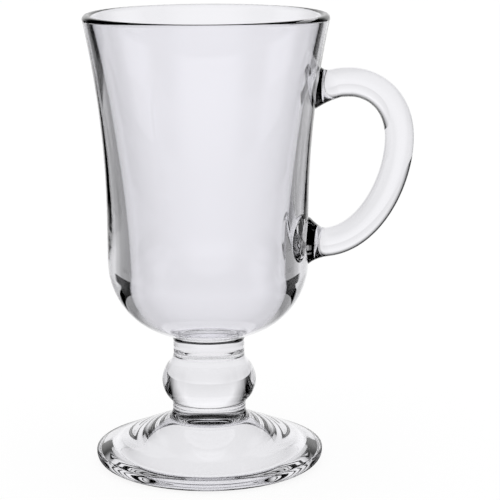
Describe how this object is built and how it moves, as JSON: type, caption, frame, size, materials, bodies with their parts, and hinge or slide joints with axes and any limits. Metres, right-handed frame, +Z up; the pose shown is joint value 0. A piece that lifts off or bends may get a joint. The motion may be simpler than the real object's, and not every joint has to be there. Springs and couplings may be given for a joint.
{
  "type": "mulled wine mug",
  "caption": "Footed clear glass mug for hot drinks: flared bowl with a wall that thins up to the lip, short neck, ball knop, low cone foot and a looped round-rod handle.",
  "frame": {"origin": "middle of the mug's footprint, on the surface it stands on, half-way between the lip's far side and the handle's outer side; the turning axis is 13.48 mm towards -X", "axes": "+Z up along the turning axis, +X towards the handle"},
  "size_m": [0.1048, 0.0778, 0.1455],
  "materials": {
    "bowl_glass": "clear pressed glass, fire polished",
    "neck_glass": "clear pressed glass, fire polished",
    "knop_glass": "clear pressed glass, fire polished",
    "foot_glass": "clear pressed glass, fire polished, flat resting ring round a bell-shaped hollow",
    "handle_glass": "clear drawn glass rod, fire polished"
  },
  "bodies": {
    "root": {"bowl": "bowl_glass", "neck": "neck_glass", "knop": "knop_glass", "foot": "foot_glass", "handle": "handle_glass"}
  },
  "joints": []
}
